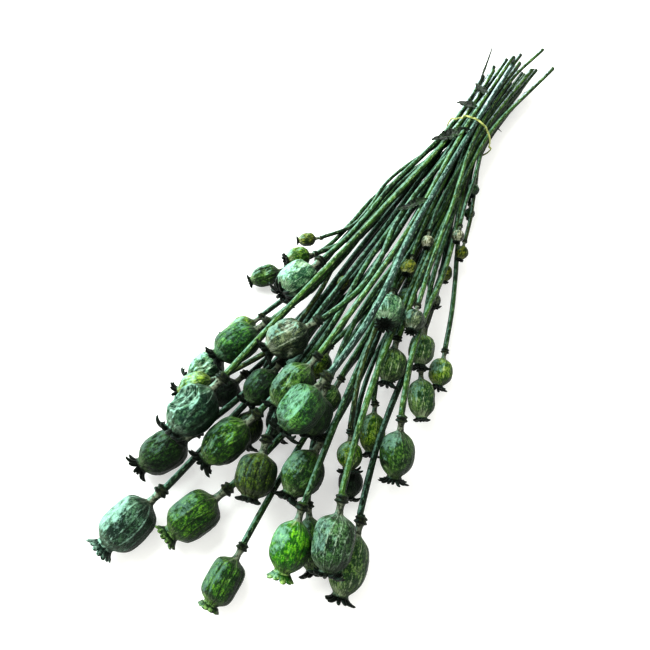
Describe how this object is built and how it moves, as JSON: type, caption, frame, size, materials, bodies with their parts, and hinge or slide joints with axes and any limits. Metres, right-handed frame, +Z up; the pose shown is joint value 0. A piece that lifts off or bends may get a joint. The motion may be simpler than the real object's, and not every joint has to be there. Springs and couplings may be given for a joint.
{
  "type": "tied bunch of dried poppy seed heads",
  "caption": "Tied bunch of dried, green-dyed poppy seed heads on long stems, fanned out from a thin band and lying on a surface; for dried flower displays.",
  "frame": {"origin": "middle of the bunch's footprint, on the surface that it lies on", "axes": "+Z up from that surface, -Y towards the seed heads, +Y towards the cut ends"},
  "size_m": [0.2302, 0.6368, 0.1036],
  "materials": {
    "stalk": "dry plant skin dyed green, semi-matt with a waxy bloom",
    "tie_band": "satin",
    "withered_leaf": "matt, dry"
  },
  "bodies": {
    "root": {"poppy_stalk_01": "stalk", "poppy_stalk_02": "stalk", "poppy_stalk_03": "stalk", "poppy_stalk_04": "stalk", "poppy_stalk_05": "stalk", "poppy_stalk_06": "stalk", "poppy_stalk_07": "stalk", "poppy_stalk_08": "stalk", "poppy_stalk_09": "stalk", "poppy_stalk_10": "stalk", "poppy_stalk_11": "stalk", "poppy_stalk_12": "stalk", "poppy_stalk_13": "stalk", "poppy_stalk_14": "stalk", "poppy_stalk_15": "stalk", "poppy_stalk_16": "stalk", "poppy_stalk_17": "stalk", "poppy_stalk_18": "stalk", "poppy_stalk_19": "stalk", "poppy_stalk_20": "stalk", "poppy_stalk_21": "stalk", "poppy_stalk_22": "stalk", "poppy_stalk_23": "stalk", "poppy_stalk_24": "stalk", "poppy_stalk_25": "stalk", "poppy_stalk_26": "stalk", "poppy_stalk_27": "stalk", "poppy_stalk_28": "stalk", "poppy_stalk_29": "stalk", "poppy_stalk_30": "stalk", "poppy_stalk_31": "stalk", "poppy_stalk_32": "stalk", "poppy_stalk_33": "stalk", "poppy_stalk_34": "stalk", "poppy_stalk_35": "stalk", "poppy_stalk_36": "stalk", "poppy_stalk_37": "stalk", "poppy_stalk_38": "stalk", "poppy_stalk_39": "stalk", "poppy_stalk_40": "stalk", "poppy_stalk_41": "stalk", "poppy_stalk_42": "stalk", "poppy_stalk_43": "stalk", "poppy_stalk_44": "stalk", "poppy_stalk_45": "stalk", "poppy_stalk_46": "stalk", "poppy_stalk_47": "stalk", "poppy_stalk_48": "stalk", "poppy_stalk_49": "stalk", "poppy_stalk_50": "stalk", "poppy_stalk_51": "stalk", "poppy_stalk_52": "stalk", "tie_band": "tie_band", "dried_leaf_01": "withered_leaf", "dried_leaf_02": "withered_leaf", "dried_leaf_03": "withered_leaf", "dried_leaf_04": "withered_leaf", "dried_leaf_05": "withered_leaf"}
  },
  "joints": []
}
